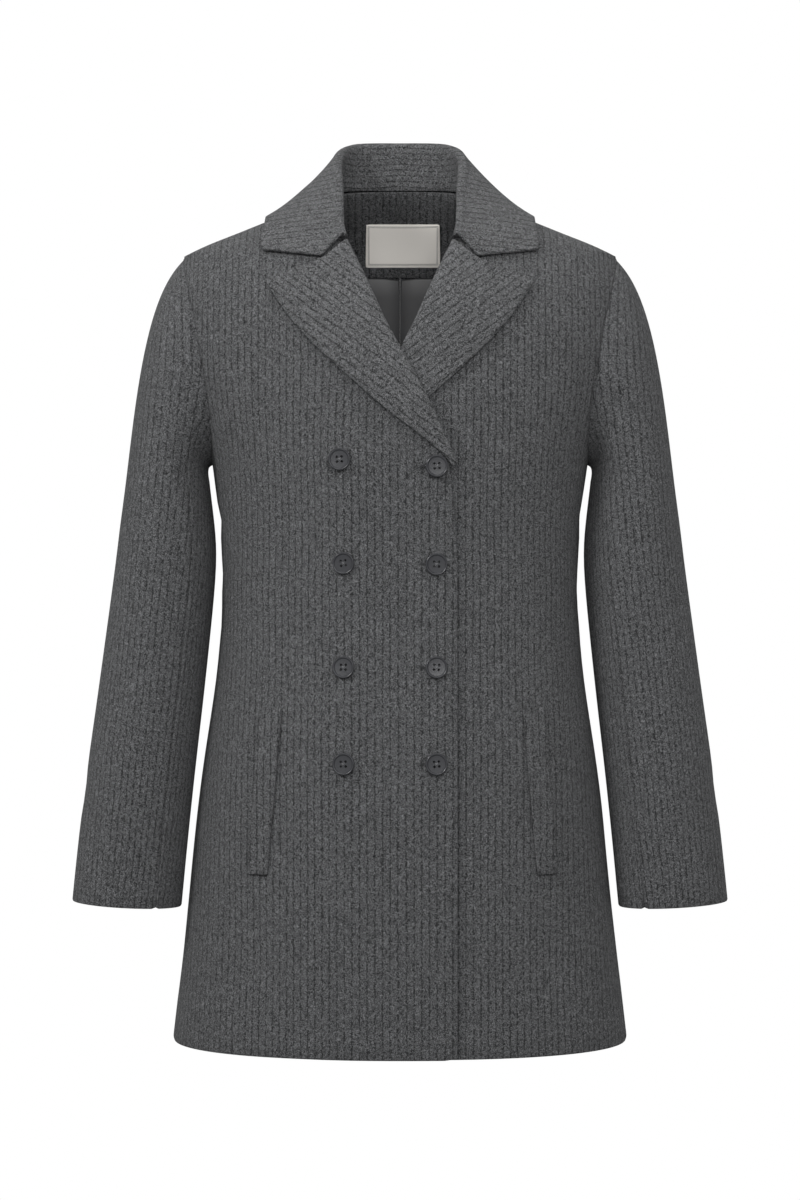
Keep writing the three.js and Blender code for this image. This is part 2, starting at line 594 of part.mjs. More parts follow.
/** One row of the collar: up its stand, over the fold and down the fall. */
function collarRow(t) {
  const at = (key) => collarAt[key](t);
  const seam = new THREE.Vector3(at('nx'), at('ny'), at('nz'));
  const fold = new THREE.Vector3(at('fx'), at('fy'), at('fz'));
  const edgeForm = formPoint(at('ez'), (at('turn') * Math.PI) / 180);
  const edge = edgeForm.clone().addScaledVector(formNormal(edgeForm), at('rise'));
  const out = new THREE.Vector3().subVectors(edge, fold);
  const rise = new THREE.Vector3().subVectors(fold, seam);
  const flat = frontPoint(fold.x, Math.min(fold.z, -30)).n;
  const sideways = new THREE.Vector3(out.x, out.y, 0).normalize()
    .lerp(flat, 1 - smooth(0, 0.3, t)).normalize();
  const up = rise.clone().addScaledVector(sideways, -rise.dot(sideways)).normalize();
  const bend = mix(2.6, COLLAR_BEND, smooth(0, 0.4, t));
  const centre = fold.clone().addScaledVector(up, -bend);
  const points = [];
  const foot = centre.clone().addScaledVector(sideways, -bend);
  [0, 0.5].forEach((v) => points.push(seam.clone().lerp(foot, v)));
  for (let k = 0; k <= BEND_STEPS; k += 1) {
    const a = (Math.PI * k) / BEND_STEPS;
    points.push(centre.clone().addScaledVector(sideways, -bend * Math.cos(a))
      .addScaledVector(up, bend * Math.sin(a)));
  }
  const begin = points.at(-1).clone();
  const steps = 6;
  const front = (1 - Math.min(1, t / 0.35)) ** 2;
  for (let k = 1; k <= steps; k += 1) {
    const v = k / steps;
    const p = begin.clone().lerp(edge, v);
    if (front > 0) {
      const v1 = 2 / steps;
      const x = v < v1 + 1e-9 ? mix(begin.x, NOTCH.x, v / v1)
        : mix(NOTCH.x, COLLAR_CORNER.x, (v - v1) / (1 - v1));
      const z = v < v1 + 1e-9 ? mix(begin.z, NOTCH.z + 3.2, v / v1)
        : mix(NOTCH.z + 3.2, COLLAR_CORNER.z, (v - v1) / (1 - v1));
      const { p: base, n } = frontPoint(x, z);
      p.lerp(base.addScaledVector(n, 4), front);
    }
    points.push(clearOfForm(p, mix(4.4, 3.4, v)));
  }
  return points;
}

const collarHalf = Array.from({ length: COLLAR_ROWS + 1 }, (_, i) => collarRow(i / COLLAR_ROWS));
const collarGrid = [...collarHalf, ...collarHalf.slice(0, -1).reverse()
  .map((row) => row.map((p) => new THREE.Vector3(-p.x, p.y, p.z)))];
const collarNormals = gridNormals(collarGrid);
addPiece('collar', wallGeometry(moved(collarGrid, collarNormals, COLLAR_WOOL / 2),
  moved(collarGrid, collarNormals, -COLLAR_WOOL / 2)), turnedWool);

// ---------------------------------------------------------------- pocket welts
/** One welt on its front. */
function addWelt(name, rise, shift, mirror) {
  const grid = Array.from({ length: 6 }, (_, i) => [0, 0.5, 1].map((v) => {
    const t = i / 5;
    const x = mix(mix(WELT[0].x, WELT[3].x, t), mix(WELT[1].x, WELT[2].x, t), v) - shift;
    const z = mix(mix(WELT[0].z, WELT[3].z, t), mix(WELT[1].z, WELT[2].z, t), v);
    const { p, n } = frontPoint(x, z);
    return p.addScaledVector(n, rise(x, z) + SEAM);
  }));
  const normals = formNormals(grid);
  addPiece(name, wallGeometry(moved(grid, normals, WELT_WALL), grid, mirror), wool);
}

addWelt('welt_right', overlapLift, 0, false);
addWelt('welt_left', () => 0, LEFT_WELT_SHIFT, true);

// ---------------------------------------------------------------- buttons
/** A four-hole button with a raised rim, its back on z = 0. */
function buttonGeometry() {
  const { radius, height, rim, dish, hole, pitch } = BUTTON;
  const profile = [[0, 0], [radius * 0.8, 0], [radius, height * 0.45], [radius - 0.5, height],
    [radius - rim, height], [radius - rim - 1, height - dish], [0, height - dish]]
    .map(([x, y]) => new THREE.Vector2(x, y));
  const disc = new THREE.LatheGeometry(profile, 22).rotateX(Math.PI / 2);
  const solid = toManifold(disc);
  const holes = [[1, 1], [1, -1], [-1, 1], [-1, -1]].map(([sx, sy]) => wasm.Manifold
    .cylinder(2 * height, hole, hole, 7, true).translate([sx * pitch, sy * pitch, height / 2]));
  return fromManifold(wasm.Manifold.difference([solid, ...holes]));
}

/** A closed geometry as a manifold, its vertices merged by position. */
function toManifold(geometry) {
  const position = geometry.getAttribute('position');
  const index = geometry.getIndex();
  const seen = new Map();
  const points = [];
  const ids = Array.from({ length: position.count }, (_, k) => {
    const p = [position.getX(k), position.getY(k), position.getZ(k)];
    const key = p.map((v) => Math.round(v * 1e4)).join();
    if (!seen.has(key)) {
      seen.set(key, points.length / 3);
      points.push(...p);
    }
    return seen.get(key);
  });
  const faces = [];
  for (let k = 0; k < index.count; k += 3) {
    const [a, b, c] = [0, 1, 2].map((m) => ids[index.getX(k + m)]);
    if (a !== b && b !== c && a !== c) faces.push(a, b, c);
  }
  const build = (order) => new wasm.Manifold(new wasm.Mesh({ numProp: 3,
    vertProperties: new Float32Array(points), triVerts: new Uint32Array(order) }));
  const solid = build(faces);
  if (solid.volume() > 0) return solid;
  return build(faces.map((_, k) => faces[k - (k % 3) + (2 - (k % 3))]));
}

/** A manifold as a geometry. */
function fromManifold(solid) {
  const mesh = solid.getMesh();
  const geometry = new THREE.BufferGeometry();
  geometry.setAttribute('position', new THREE.Float32BufferAttribute(mesh.vertProperties, 3));
  geometry.setIndex(Array.from(mesh.triVerts));
  geometry.computeVertexNormals();
  return geometry;
}

const button = buttonGeometry();
BUTTON_ROWS.forEach((row, i) => {
  [[row.outer, row.z], [row.inner, row.innerZ]].forEach(([x, z], k) => {
    const { p, n } = frontPoint(x, z);
    const seat = p.addScaledVector(n, overlapLift(x, z) + row.seat);
    const mesh = new THREE.Mesh(button, plastic);
    mesh.name = `button_${2 * i + k + 1}`;
    mesh.position.copy(seat);
    mesh.quaternion.setFromUnitVectors(new THREE.Vector3(0, 0, 1), n);
    coat.add(mesh);
  });
});

export default coat;
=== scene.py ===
"""Double-breasted grey wool blazer coat: cloth, lining, label, buttons and thread.

Metres, +Z up, front toward -Y, the wearer's right side toward -X. Every cloth piece is
a thin shell on its solid's form, smoothed, with soft creases placed one by one.
"""
import json
import logging
import math
from dataclasses import dataclass
from enum import Enum

import bmesh
import bpy
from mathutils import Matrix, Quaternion, Vector

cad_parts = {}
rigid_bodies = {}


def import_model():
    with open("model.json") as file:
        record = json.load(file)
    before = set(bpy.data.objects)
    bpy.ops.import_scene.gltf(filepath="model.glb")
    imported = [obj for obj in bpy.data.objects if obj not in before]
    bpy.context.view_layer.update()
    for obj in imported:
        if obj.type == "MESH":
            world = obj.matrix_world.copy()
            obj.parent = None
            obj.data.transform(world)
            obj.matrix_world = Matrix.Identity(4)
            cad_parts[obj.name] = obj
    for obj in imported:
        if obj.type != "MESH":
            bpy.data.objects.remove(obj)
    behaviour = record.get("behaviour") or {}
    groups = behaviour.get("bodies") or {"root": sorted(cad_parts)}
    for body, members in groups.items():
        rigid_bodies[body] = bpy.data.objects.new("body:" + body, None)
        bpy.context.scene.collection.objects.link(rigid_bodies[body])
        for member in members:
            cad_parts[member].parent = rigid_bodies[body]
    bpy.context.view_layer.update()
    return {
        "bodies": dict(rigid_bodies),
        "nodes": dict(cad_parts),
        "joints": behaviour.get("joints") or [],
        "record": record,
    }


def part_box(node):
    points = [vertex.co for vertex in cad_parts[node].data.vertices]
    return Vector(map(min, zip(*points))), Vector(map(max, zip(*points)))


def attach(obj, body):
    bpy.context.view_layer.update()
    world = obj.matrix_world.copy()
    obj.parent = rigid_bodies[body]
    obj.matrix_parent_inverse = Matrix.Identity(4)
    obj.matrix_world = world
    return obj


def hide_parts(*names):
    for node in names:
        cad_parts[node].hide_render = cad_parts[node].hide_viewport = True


LOG = logging.getLogger("blazer")
MM = 0.001
GRAIN = "Grain"
NAP = 0.17 * MM  # the cloth's nap, which fills the seams
RIM_CREASE = 0.8
CORNER_CREASE = 0.95
YOKE_LOW, YOKE_HIGH = -0.260, -0.160  # between these the ribs leave the form's turn


class Cut(Enum):
    """How a piece's ribs run."""

    BODY = "down the body, spread by the distance round it"
    SLEEVE = "down the sleeve"
    LAPEL_RIGHT = "across the right lapel"
    LAPEL_LEFT = "across the left lapel"
    COLLAR = "round the collar"


@dataclass(frozen=True)
class WoolFinish:
    """Colours and strengths of one wool.

    dark and light are linear tones; pitch is the ribs' spacing in metres.
    """

    name: str
    dark: tuple
    light: tuple
    pitch: float = 6.9 * MM
    # strength of the painted shade in the rib grooves, also used for the grooves' bump
    # depth
    line: float = 0.62
    bump: float = 0.85


@dataclass(frozen=True)
class PlainFinish:
    """A plain finish: colour, roughness and the strength of its sheen."""

    name: str
    color: tuple
    roughness: float
    sheen: float = 0.0
    grain: float = 0.0


BODY_WOOL = WoolFinish("wool", (0.014, 0.0145, 0.0155), (0.235, 0.239, 0.247))
TURNED_WOOL = WoolFinish("turned_wool", (0.015, 0.0155, 0.0165), (0.262, 0.266, 0.274))
SATIN = PlainFinish("satin", (0.022, 0.022, 0.024), 0.42, 0.3, 0.25)
# the label's cream colour, raised to near white to make up for the shade it sits in inside
# the neck: partly painted light
RIBBON = PlainFinish("ribbon", (0.95, 0.91, 0.85), 0.8, 0.1, 0.5)
RIBBON_LINE = PlainFinish("ribbon_line", (0.11, 0.11, 0.12), 0.8)
HORN = PlainFinish("button", (0.036, 0.037, 0.041), 0.26)
THREAD = PlainFinish("thread", (0.16, 0.163, 0.17), 0.7)
DARK_THREAD = PlainFinish("dark_thread", (0.035, 0.036, 0.038), 0.8)


@dataclass(frozen=True)
class Crease:
    """One soft trough: grain position across and up, angle, half length and width, depth.

    Lengths in metres, angle in degrees from level. A negative depth is a ridge.
    """

    across: float
    up: float
    angle: float
    half: float
    width: float
    depth: float


# the body's creases by the distance round it from the front's middle, and height
BODY_CREASES = (
    Crease(0.232, -0.300, 34, 0.060, 0.012, 0.0026),
    Crease(0.250, -0.342, 20, 0.045, 0.010, 0.0018),
    Crease(0.215, -0.385, 8, 0.050, 0.014, 0.0016),
    Crease(-0.236, -0.306, -30, 0.052, 0.013, 0.0023),
    Crease(-0.252, -0.352, -16, 0.048, 0.011, 0.0020),
    Crease(-0.210, -0.398, -6, 0.044, 0.013, 0.0014),
    Crease(0.400, -0.372, 9, 0.075, 0.014, 0.0024),
    Crease(-0.385, -0.390, -7, 0.066, 0.015, 0.0022),
    Crease(0.455, -0.420, 4, 0.055, 0.016, -0.0018),
    Crease(-0.330, -0.300, -28, 0.062, 0.013, 0.0020),
    Crease(0.340, -0.285, 31, 0.058, 0.012, 0.0022),
    Crease(0.300, -0.660, 86, 0.100, 0.030, 0.0028),
    Crease(-0.320, -0.690, 88, 0.085, 0.034, 0.0030),
    Crease(0.140, -0.715, 87, 0.075, 0.030, 0.0018),
    Crease(-0.150, -0.700, 92, 0.085, 0.028, 0.0020),
    Crease(0.440, -0.700, 91, 0.090, 0.036, 0.0024),
)
# a sleeve's creases by the distance round it from its outer line, and height
SLEEVE_CREASES = (
    Crease(0.085, -0.205, 38, 0.050, 0.012, 0.0022),
    Crease(0.110, -0.262, 30, 0.044, 0.010, 0.0019),
    Crease(0.070, -0.385, -22, 0.052, 0.013, 0.0022),
    Crease(0.096, -0.432, 12, 0.048, 0.012, 0.0025),
    Crease(0.060, -0.482, 24, 0.040, 0.014, 0.0017),
    Crease(-0.080, -0.405, 14, 0.045, 0.015, 0.0020),
    Crease(-0.100, -0.240, -32, 0.046, 0.012, 0.0021),
    Crease(0.010, -0.560, -10, 0.038, 0.018, 0.0012),
)


@dataclass(frozen=True)
class Section:
    """Half width and front and back depths of the body at a height, in metres."""

    z: float
    half: float
    front: float
    back: float


SECTIONS = (
    Section(-0.800, 0.218, 0.132, 0.128),
    Section(-0.611, 0.198, 0.127, 0.118),
    Section(-0.458, 0.176, 0.119, 0.110),
    Section(-0.371, 0.170, 0.114, 0.101),
    Section(-0.253, 0.180, 0.121, 0.108),
    Section(-0.153, 0.217, 0.117, 0.112),
    Section(-0.053, 0.208, 0.090, 0.101),
    Section(0.075, 0.160, 0.070, 0.090),
)
BODY_Y = 0.005
SQUARENESS = 2.35


def mix(a: float, b: float, t: float) -> float:
    """Blends two values.

    Args: a, b: the values; t: 0 gives a, 1 gives b.
    Returns: the blend.
    """
    return a + (b - a) * t


def smooth(a: float, b: float, x: float) -> float:
    """A smooth step.

    Args: a, b: where it starts and ends; x: the value.
    Returns: 0 to 1.
    """
    t = min(1.0, max(0.0, (x - a) / (b - a)))
    return t * t * (3 - 2 * t)


class BodyForm:
    """The body's sections, for finding where a point lies on the cloth."""

    STEPS = 90

    def __init__(self, half: float) -> None:
        """Args: half: the body's measured half width, to which the table is scaled.

        Returns: nothing.
        """
        self.scale = half / SECTIONS[0].half
        self.arcs: dict = {}

    def section(self, z: float) -> tuple:
        """Args: z: a height. Returns: half width, front depth and back depth there."""
        z = min(SECTIONS[-1].z, max(SECTIONS[0].z, z))
        for low, high in zip(SECTIONS, SECTIONS[1:]):
            if z <= high.z:
                t = (z - low.z) / (high.z - low.z)
                return tuple(
                    mix(getattr(low, key), getattr(high, key), t) * self.scale
                    for key in ("half", "front", "back")
                )
        return (SECTIONS[-1].half, SECTIONS[-1].front, SECTIONS[-1].back)

    def arc(self, z: float) -> list:
        """Args: z: a height. Returns: distances round half the section, by turn."""
        key = round(z, 3)
        if key not in self.arcs:
            half, front, back = self.section(z)
            last, total, table = None, 0.0, []
            for i in range(self.STEPS + 1):
                turn = math.pi * i / self.STEPS
                c, s = math.cos(turn), math.sin(turn)
                depth = front if c > 0 else back
                p = (
                    half * s ** (2 / SQUARENESS),
                    math.copysign(depth * abs(c) ** (2 / SQUARENESS), c),
                )
                total += math.dist(p, last) if last else 0.0
                table.append(total)
                last = p
            self.arcs[key] = table
        return self.arcs[key]

    def round_distance(self, p: Vector) -> float:
        """Args: p: a point. Returns: its distance round the body from the front."""
        half, front, back = self.section(p.z)
        depth = front if p.y < BODY_Y else back
        across = abs(p.x / half) ** (SQUARENESS / 2)
        ahead = abs((p.y - BODY_Y) / depth) ** (SQUARENESS / 2)
        turn = math.atan2(across, math.copysign(ahead, BODY_Y - p.y))
        yoke = smooth(YOKE_LOW, YOKE_HIGH, p.z)
        if yoke > 0:
            wide, _, _ = self.section(min(p.z, YOKE_HIGH))
            plumb = math.asin(min(1.0, abs(p.x) / wide) ** (SQUARENESS / 2))
            plumb = plumb if p.y < BODY_Y else math.pi - plumb
            turn = mix(turn, plumb, yoke)
        table = self.arc(min(p.z, mix(p.z, YOKE_HIGH, yoke)))
        f = turn / math.pi * self.STEPS
        i = min(self.STEPS - 1, int(f))
        return math.copysign(mix(table[i], table[i + 1], f - i), p.x)


class SleeveForm:
    """A sleeve's middle line, from its measured boxes."""

    def __init__(self, side: str) -> None:
        """Args: side: right or left. Returns: nothing."""
        low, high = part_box(f"sleeve_upper_{side}")
        self.sign = -1.0 if side == "right" else 1.0
        self.cuff = Vector((self.sign * 0.259, -0.028, low.z))
        self.top = Vector((self.sign * 0.212, 0.004, high.z - 0.11))

    def middle(self, z: float) -> Vector:
        """Args: z: a height. Returns: the middle line's point there."""
        t = (z - self.top.z) / (self.cuff.z - self.top.z)
        return self.top.lerp(self.cuff, min(1.0, max(0.0, t)))

    def grain(self, p: Vector) -> tuple:
        """Args: p: a point. Returns: distance round from the outer line, and height."""
        mid = self.middle(p.z)
        out = (p.x - mid.x) * self.sign
        turn = math.atan2(mid.y - p.y, out)
        return turn * 0.056, p.z


def crease_depth(creases: tuple, u: float, v: float) -> float:
    """Depth of all creases at a place on the cloth.

    Args: creases: the creases; u, v: distance across and height.
    Returns: the depth in metres.
    """
    total = 0.0
    for crease in creases:
        angle = math.radians(crease.angle)
        du, dv = u - crease.across, v - crease.up
        along = du * math.cos(angle) + dv * math.sin(angle)
        if abs(along) > crease.half:
            continue
        bow = 0.12 * crease.half * math.sin(along / crease.half * 2.4)
        off = -du * math.sin(angle) + dv * math.cos(angle) - bow
        fade = math.cos(along / crease.half * math.pi / 2) ** 2
        total += crease.depth * fade * math.exp(-((off / crease.width) ** 2))
    return total


def new_object(name: str, mesh: bpy.types.Mesh) -> bpy.types.Object:
    """Makes an object in the scene.

    Args: name: its name; mesh: its mesh.
    Returns: the object.
    """
    obj = bpy.data.objects.new(name, mesh)
    bpy.context.scene.collection.objects.link(obj)
    return obj


def refined_mesh(source: bpy.types.Object, name: str, levels: int) -> bpy.types.Object:
    """A smooth shell on a solid's form, its rims kept crisp.

    Args: source: the solid; name: the new object's name; levels: subdivisions.
    Returns: the object.
    """
    bm = bmesh.new()
    bm.from_mesh(source.data)
    bmesh.ops.remove_doubles(bm, verts=bm.verts, dist=1e-6)
    bmesh.ops.join_triangles(
        bm,
        faces=bm.faces,
        angle_face_threshold=math.radians(38),
        angle_shape_threshold=math.pi,
    )
    crease = bm.edges.layers.float.new("crease_edge")
    corner = bm.verts.layers.float.new("crease_vert")
    for edge in bm.edges:
        if len(edge.link_faces) == 2 and edge.calc_face_angle(0) > math.radians(48):
            edge[crease] = RIM_CREASE
    for vertex in bm.verts:
        if sum(edge[crease] > 0 for edge in vertex.link_edges) > 2:
            vertex[corner] = CORNER_CREASE
    bm.normal_update()
    nap = [vertex.normal * NAP for vertex in bm.verts]
    for vertex, push in zip(bm.verts, nap):
        vertex.co += push
    mesh = bpy.data.meshes.new(name)
    bm.to_mesh(mesh)
    bm.free()
    obj = new_object(name, mesh)
    modifier = obj.modifiers.new("Smooth", "SUBSURF")
    modifier.levels = modifier.render_levels = levels
    return plain(obj)


def plain(obj: bpy.types.Object) -> bpy.types.Object:
    """Turns an object's modifiers into plain mesh.

    Args: obj: the object.
    Returns: the same object.
    """
    graph = bpy.context.evaluated_depsgraph_get()
    mesh = bpy.data.meshes.new_from_object(obj.evaluated_get(graph), depsgraph=graph)
    obj.modifiers.clear()
    obj.data = mesh
    return obj


def group_socket(group: bpy.types.NodeTree, name: str, way: str, kind: str, value=None):
    """Adds a named socket to a node group.

    Args: group: the group; name: the socket's name; way: INPUT or OUTPUT;
        kind: the socket type; value: its default.
    Returns: the socket.
    """
    socket = group.interface.new_socket(name=name, in_out=way, socket_type=kind)
    if value is not None:
        socket.default_value = value
    return socket


class Shaders:
    """The shared node groups and the materials made with them."""

    def __init__(self) -> None:
        """Returns: nothing."""
        self.weave = self._weave_group()
        self.made: dict = {}

    @staticmethod
    def _math(nodes, links, operation: str, a, b=None, clamp: bool = False):
        """Args: nodes, links: the tree's; operation; a, b: sockets or numbers; clamp.

        Returns: the result's socket.
        """
        node = nodes.new("ShaderNodeMath")
        node.operation = operation
        node.use_clamp = clamp
        for slot, value in zip(node.inputs, (a, b)):
            if value is None:
                continue
            if isinstance(value, (int, float)):
                slot.default_value = value
            else:
                links.new(value, slot)
        return node.outputs[0]

    def _weave_group(self) -> bpy.types.NodeTree:
        """Ribs and flecks of a napped wool, the ribs' valleys darkened in colour as painted
        shade in the grooves. Returns: the group.
        """
        group = bpy.data.node_groups.new("Wool weave", "ShaderNodeTree")
        group_socket(group, "Grain", "INPUT", "NodeSocketVector")
        group_socket(group, "Position", "INPUT", "NodeSocketVector")
        group_socket(group, "Pitch", "INPUT", "NodeSocketFloat", 6.9 * MM)
        # strength of the dark rib lines: painted shade in the grooves, which also deepens
        # their bump
        group_socket(group, "Line", "INPUT", "NodeSocketFloat", 0.6)
        group_socket(group, "Tone", "OUTPUT", "NodeSocketFloat")
        group_socket(group, "Height", "OUTPUT", "NodeSocketFloat")
        nodes, links = group.nodes, group.links
        entry, leave = nodes.new("NodeGroupInput"), nodes.new("NodeGroupOutput")

        def noise(vector, scale, detail, distortion=0.0):
            """Args: a vector and the noise's settings. Returns: its value."""
            node = nodes.new("ShaderNodeTexNoise")
            node.inputs["Scale"].default_value = scale
            node.inputs["Detail"].default_value = detail
            node.inputs["Distortion"].default_value = distortion
            links.new(vector, node.inputs["Vector"])
            return node.outputs[0]

        def spread(value, low, high):
            """Args: a value and its range. Returns: it mapped to 0..1."""
            node = nodes.new("ShaderNodeMapRange")
            node.inputs["From Min"].default_value = low
            node.inputs["From Max"].default_value = high
            links.new(value, node.inputs["Value"])
            return node.outputs[0]

        split = nodes.new("ShaderNodeSeparateXYZ")
        links.new(entry.outputs["Grain"], split.inputs[0])
        place = entry.outputs["Position"]
        wobble = self._math(nodes, links, "MULTIPLY", noise(place, 210, 2.0), 0.42)
        ribs = self._math(
            nodes, links, "DIVIDE", split.outputs[0], entry.outputs["Pitch"]
        )
        ribs = self._math(nodes, links, "ADD", ribs, wobble)
        ribs = self._math(nodes, links, "FRACT", ribs)
        ribs = self._math(nodes, links, "SUBTRACT", ribs, 0.5)
        ribs = self._math(nodes, links, "ABSOLUTE", ribs)
        # the ribs' valley mask; its darkening of the colour below is painted shade in the
        # grooves
        valley = spread(ribs, 0.34, 0.49)
        broken = spread(noise(place, 400, 1.0), 0.38, 0.56)
        line = self._math(nodes, links, "MULTIPLY", valley, broken)
        line = self._math(nodes, links, "MULTIPLY", line, entry.outputs["Line"])
        fleck = spread(noise(place, 620, 2.0, 1.8), 0.43, 0.59)
        bright = spread(noise(place, 700, 1.0, 2.4), 0.55, 0.64)
        tone = self._math(nodes, links, "MULTIPLY", fleck, 0.55)
        tone = self._math(
            nodes, links, "ADD", tone, self._math(nodes, links, "MULTIPLY", bright, 0.60)
        )
        # painted shade: the rib valleys are taken off the colour as if shaded in their
        # grooves
        tone = self._math(nodes, links, "SUBTRACT", tone, line, True)
        height = self._math(
            nodes, links, "SUBTRACT", fleck, self._math(nodes, links, "MULTIPLY", line, 1.2)
        )
        links.new(tone, leave.inputs["Tone"])
        links.new(height, leave.inputs["Height"])
        return group

    def wool(self, finish: WoolFinish) -> bpy.types.Material:
        """Args: finish: the wool. Returns: its material."""
        if finish.name in self.made:
            return self.made[finish.name]
        material = bpy.data.materials.new(finish.name)
        material.use_nodes = True
        nodes, links = material.node_tree.nodes, material.node_tree.links
        shader = nodes["Principled BSDF"]
        shader.inputs["Roughness"].default_value = 0.95
        shader.inputs["Specular IOR Level"].default_value = 0.18
        shader.inputs["Sheen Weight"].default_value = 0.12
        shader.inputs["Sheen Roughness"].default_value = 0.6
        weave = nodes.new("ShaderNodeGroup")
        weave.node_tree = self.weave
        weave.inputs["Pitch"].default_value = finish.pitch
        # the painted groove shade's strength, also the grooves' bump depth
        weave.inputs["Line"].default_value = finish.line
        grain = nodes.new("ShaderNodeUVMap")
        grain.uv_map = GRAIN
        links.new(grain.outputs[0], weave.inputs["Grain"])
        place = nodes.new("ShaderNodeTexCoord")
        links.new(place.outputs["Object"], weave.inputs["Position"])
        ramp = nodes.new("ShaderNodeMix")
        ramp.data_type = "RGBA"
        ramp.inputs[6].default_value = (*finish.dark, 1)
        ramp.inputs[7].default_value = (*finish.light, 1)
        links.new(weave.outputs["Tone"], ramp.inputs[0])
        links.new(ramp.outputs[2], shader.inputs["Base Color"])
        bump = nodes.new("ShaderNodeBump")
        bump.inputs["Strength"].default_value = finish.bump
        bump.inputs["Distance"].default_value = 0.9 * MM
        links.new(weave.outputs["Height"], bump.inputs["Height"])
        links.new(bump.outputs[0], shader.inputs["Normal"])
        self.made[finish.name] = material
        return material

    def plain(self, finish: PlainFinish) -> bpy.types.Material:
        """Args: finish: a plain finish. Returns: its material."""
        if finish.name in self.made:
            return self.made[finish.name]
        material = bpy.data.materials.new(finish.name)
        material.use_nodes = True
        nodes, links = material.node_tree.nodes, material.node_tree.links
        shader = nodes["Principled BSDF"]
        shader.inputs["Base Color"].default_value = (*finish.color, 1)
        shader.inputs["Roughness"].default_value = finish.roughness
        shader.inputs["Sheen Weight"].default_value = finish.sheen
        if finish.grain:
            place = nodes.new("ShaderNodeTexCoord")
            noise = nodes.new("ShaderNodeTexNoise")
            noise.inputs["Scale"].default_value = 900
            links.new(place.outputs["Object"], noise.inputs["Vector"])
            bump = nodes.new("ShaderNodeBump")
            bump.inputs["Strength"].default_value = finish.grain
            bump.inputs["Distance"].default_value = 0.1 * MM
            links.new(noise.outputs[0], bump.inputs["Height"])
            links.new(bump.outputs[0], shader.inputs["Normal"])
        self.made[finish.name] = material
        return material


@dataclass(frozen=True)
class ClothSize:
    """One cut of cloth: its node, grain, flat size of the cut and share of its box."""

    node: str
    cut: Cut
    width: float
    length: float
    fill: float
    levels: int = 2


WOOL_CUTS = (
    ClothSize("front_right", Cut.BODY, 0.300, 0.825, 0.87),
    ClothSize("front_left", Cut.BODY, 0.300, 0.825, 0.87),
    ClothSize("back_right", Cut.BODY, 0.275, 0.830, 0.85),
    ClothSize("back_left", Cut.BODY, 0.275, 0.830, 0.85),
    ClothSize("sleeve_upper_right", Cut.SLEEVE, 0.215, 0.635, 0.78),
    ClothSize("sleeve_upper_left", Cut.SLEEVE, 0.215, 0.635, 0.78),
    ClothSize("sleeve_under_right", Cut.SLEEVE, 0.165, 0.560, 0.78),
    ClothSize("sleeve_under_left", Cut.SLEEVE, 0.165, 0.560, 0.78),
    ClothSize("back_neck_facing", Cut.BODY, 0.440, 0.115, 0.78),
    ClothSize("welt_right", Cut.BODY, 0.022, 0.156, 0.99),
    ClothSize("welt_left", Cut.BODY, 0.022, 0.156, 0.99),
)
TURNED_CUTS = (
    ClothSize("lapel_right", Cut.LAPEL_RIGHT, 0.110, 0.250, 0.52),
    ClothSize("lapel_left", Cut.LAPEL_LEFT, 0.110, 0.250, 0.52),
    ClothSize("collar", Cut.COLLAR, 0.480, 0.150, 0.82),
)
LINING_CUTS = (
    ClothSize("lining_right", Cut.BODY, 0.250, 0.725, 0.87),
    ClothSize("lining_left", Cut.BODY, 0.250, 0.725, 0.87),
)
LAPEL_RIB = math.radians(37)


